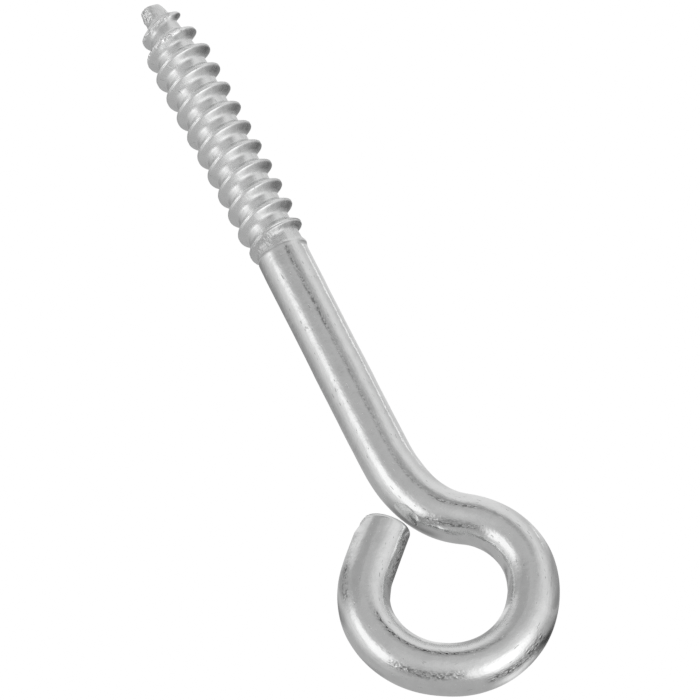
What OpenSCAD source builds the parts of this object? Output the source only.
// Lag-thread eye bolt, bent from one piece of wire: open eye, plain shank, coarse wood thread.
// Frame: millimetres, origin at the centre of the eye, eye axis along Y, shank down along -Z to the tip.
// The pieces are drawn with the tip up, and eye_bolt() turns the whole bolt over.

/* [Wire] */
// Wire diameter of the eye, neck and shank
wire_d = 7.8; // [7.4:0.1:8.2]

/* [Eye] */
// Clear diameter of the eye
eye_d = 17.5; // [16.5:0.1:18.5]
// Depth of the flat the bending mandrel presses into the inside of the eye
land_depth = 0.12; // [0.08:0.02:0.2]
// Gap between the cut end and the neck
end_gap = 1.2; // [0.2:0.1:2.0]
// Edge break round the cut end
end_break = 0.6; // [0.3:0.1:1.0]

/* [Neck] */
// Bend radius on the wire's centre line; a larger one brings the shank nearer the eye's centre
neck_r = 16; // [14:0.5:18]

/* [Shank] */
// Distance from the eye centre to the shank's shoulder, where the thread starts
shoulder_z = 61.6; // [55:0.2:70]
// Height of the broken edge of the shoulder
shoulder_break = 0.25; // [0.15:0.05:0.4]

/* [Thread] */
// Thread crest diameter
major_d = 9.5; // [9.2:0.1:9.8]
// Thread pitch
pitch = 3.63; // [3.4:0.05:3.9]
// Thread depth
depth = 1.3; // [1.2:0.05:1.5]
// Width of the crest
crest_w = 0.4; // [0.3:0.05:0.6]
// Whole turns of thread
turns = 12; // [8:1:13]
// Crest angle at the first turn
start_angle = 110; // [0:5:355]

/* [Tip] */
// Length of the tapered tip
taper_len = 6.6; // [5:0.2:8]
// Length of the pinched nib
nib_len = 1.4; // [1.2:0.1:3]
// Width of the pinched nib
nib_d = 3.6; // [3.2:0.1:4]
// Sideways set of the pinched nib
nib_shift = 0.55; // [0:0.05:0.6]

/* [Hidden] */
$fn = 96;

// Bent wire; directions and positions are [x, z] pairs
wire_r = wire_d / 2;
eye_r = eye_d / 2;
loop_inner_r = eye_r - land_depth;
loop_r = loop_inner_r + wire_r;
// eye centre to neck centre, on a 3-4-5 slope
neck_dir = [0.6, 0.8];
neck_centre = (loop_r + neck_r) * neck_dir;
neck_z = neck_centre[1];
shank_x = neck_centre[0] - neck_r;

// eye centre to where the free end leaves the loop: cosine and sine of -6 times atan(3/4)
free_dir = [-0.752192, 0.658944];
// the free end runs straight until its inner edge is end_gap from the neck
run_dir = [free_dir[1], -free_dir[0]];
inner_start = loop_inner_r * free_dir - neck_centre;
reach = neck_r + wire_r + end_gap;
start_along = inner_start * run_dir;
end_len = -start_along - sqrt(start_along * start_along - inner_start * inner_start + reach * reach);

// Thread form
seg = 32; // steps in one turn
root_r = major_d / 2 - depth;
start_r = wire_r - 0.2; // core radius at the shoulder
flank_w = depth * tan(30);
half_foot = crest_w / 2 + flank_w;
nib_r = nib_d / 2;

// Heights along the thread
core_start_z = shoulder_z - 1; // the core's flat end, buried in the shank
nib_z = shoulder_z + 0.4 + turns * pitch;
tip_z = nib_z + nib_len;
helix_start_z = shoulder_z - 0.6 + half_foot; // middle of the ridge
helix_end_z = nib_z - 0.25 - half_foot;
steps = round((helix_end_z - helix_start_z) / pitch * seg);

// Run-in and taper
core_lead = 0.3; // the core starts to shrink this far inside the shoulder
core_run = 1.3 * pitch;
taper_lead = 0.02; // head start of the core's taper, as a share of its length
ridge_run = 1.5 * pitch;
ridge_end_z = nib_z - 0.4;
ridge_taper = 0.62 * taper_len;
ridge_floor = 0.02; // share of the ridge's height left at the tip

// Circles that close the ends, low to high: [radius, z]
RINGS = [
    [start_r, core_start_z],
    [nib_r, nib_z],
    [nib_r * 0.94, tip_z - 0.45],
    [nib_r * 0.62, tip_z],
];

// S-curve from a to b as t goes from 0 to 1, flat outside that range
function blend(a, b, t) = let (u = max(0, min(1, t))) a + (b - a) * u * u * (3 - 2 * u);

function core_r(z) = min(
    blend(start_r, root_r, (z - shoulder_z + core_lead) / core_run),
    blend(nib_r, root_r, (nib_z - z) / taper_len + taper_lead));

function ridge_h(z) = depth
    * blend(0, 1, (z - helix_start_z) / ridge_run)
    * blend(ridge_floor, 1, (ridge_end_z - z) / ridge_taper);

// point at a radius and a helix step, on an axis that drifts sideways over the taper
function thread_point(radius, step, z) = let (
    angle = start_angle + 360 * step / seg,
    shift = blend(0, nib_shift, (z - nib_z + taper_len) / taper_len))
    [shank_x - shift + radius * cos(angle), radius * sin(angle), z];

// corners 0 to 3 of the thread form: low foot, low crest, high crest, high foot
function form_point(step, corner) = let (
    mid_z = helix_start_z + pitch * step / seg,
    z = mid_z + [-half_foot, -crest_w / 2, crest_w / 2, half_foot][corner],
    rise = (corner == 1 || corner == 2) ? ridge_h(mid_z) : 0)
    thread_point(core_r(z) + rise, step, z);

// triangles from the first vertex to each pair of neighbours after it
function fan(ids) = [for (k = [1 : len(ids) - 2]) [ids[0], ids[k], ids[k + 1]]];

// thread, tapered tip and nib as one mesh
module threaded_end() {
    helix_points = [for (i = [0 : steps], corner = [0 : 3]) form_point(i, corner)];
    ring_points = [for (ring = RINGS, j = [0 : seg - 1]) thread_point(ring[0], j, ring[1])];

    // vertex numbers
    function helix(i, corner) = i * 4 + corner;
    function circ(k, j) = len(helix_points) + k * seg + j % seg;
    // on the nib's lower circle, counted from the angle where the helix ends
    function top(j) = circ(1, j + steps);

    last_turn = steps - seg;
    ridge = [for (i = [0 : steps - 1], c = [0 : 2])
        each fan([helix(i, c), helix(i, c + 1), helix(i + 1, c + 1), helix(i + 1, c)])];
    roots = [for (i = [0 : last_turn - 1])
        each fan([helix(i, 3), helix(i + seg, 0), helix(i + seg + 1, 0), helix(i + 1, 3)])];
    low = [for (j = [0 : seg - 2])
        each fan([circ(0, j), helix(j, 0), helix(j + 1, 0), circ(0, j + 1)])];
    high = [for (j = [1 : seg - 1]) let (i = last_turn + j)
        each fan([helix(i, 3), top(j), top(j + 1), helix(i + 1, 3)])];
    // seams close the blunt ends of the ridge
    low_seam = fan([circ(0, seg - 1), helix(seg - 1, 0), helix(seg, 0),
        for (c = [3 : -1 : 0]) helix(0, c), circ(0, 0)]);
    high_seam = fan([top(1), helix(last_turn + 1, 3), helix(last_turn, 3),
        for (c = [0 : 3]) helix(steps, c), top(0)]);
    nib = [for (k = [1 : 2], j = [0 : seg - 1])
        each fan([circ(k, j), circ(k + 1, j), circ(k + 1, j + 1), circ(k, j + 1)])];
    caps = [
        [for (j = [0 : seg - 1]) circ(0, j)],
        [for (j = [seg - 1 : -1 : 0]) circ(3, j)],
    ];
    polyhedron(
        points = concat(helix_points, ring_points),
        faces = concat(ridge, roots, low, low_seam, high, high_seam, nib, caps),
        convexity = 10);
}

// ring of wire in the XZ plane
module wire_ring(radius) {
    rotate([90, 0, 0]) rotate_extrude() translate([radius, 0]) circle(d = wire_d);
}

// block through the wire, with its outline in the XZ plane
module sector(points) {
    rotate([90, 0, 0]) linear_extrude(height = 2 * wire_d, center = true) polygon(points);
}

// straight wire up from z = 0, with a cone at its far end
module straight_wire(length, cone_h, inset) {
    cylinder(d = wire_d, h = length - cone_h);
    translate([0, 0, length - cone_h]) cylinder(r1 = wire_r, r2 = wire_r - inset, h = cone_h);
}

module neck() {
    translate([neck_centre[0], 0, neck_z]) intersection() {
        wire_ring(neck_r);
        sector([[0, 0], [-100, 0], -100 * neck_dir]);
    }
}

module eye() {
    difference() {
        wire_ring(loop_r);
        sector([[0, 0], 1000 * neck_dir, [-1000, 1500], 1000 * free_dir]);
    }
}

module free_end() {
    // turns +X to free_dir
    multmatrix([
        [free_dir[0], 0, -free_dir[1], 0],
        [0, 1, 0, 0],
        [free_dir[1], 0, free_dir[0], 0],
        [0, 0, 0, 1],
    ])
        translate([loop_r, 0, 0]) rotate([180, 0, 0]) straight_wire(end_len, end_break, end_break);
}

module bent_wire() {
    translate([shank_x, 0, neck_z])
        straight_wire(shoulder_z - neck_z, shoulder_break, shoulder_break * 0.6);
    neck();
    eye();
    free_end();
}

module eye_bolt() {
    color([0.80, 0.81, 0.82]) rotate([0, 180, 0]) union() {
        difference() {
            bent_wire();
            // mandrel flat
            rotate([90, 0, 0]) cylinder(r = eye_r, h = wire_d, center = true);
        }
        threaded_end();
    }
}

eye_bolt();
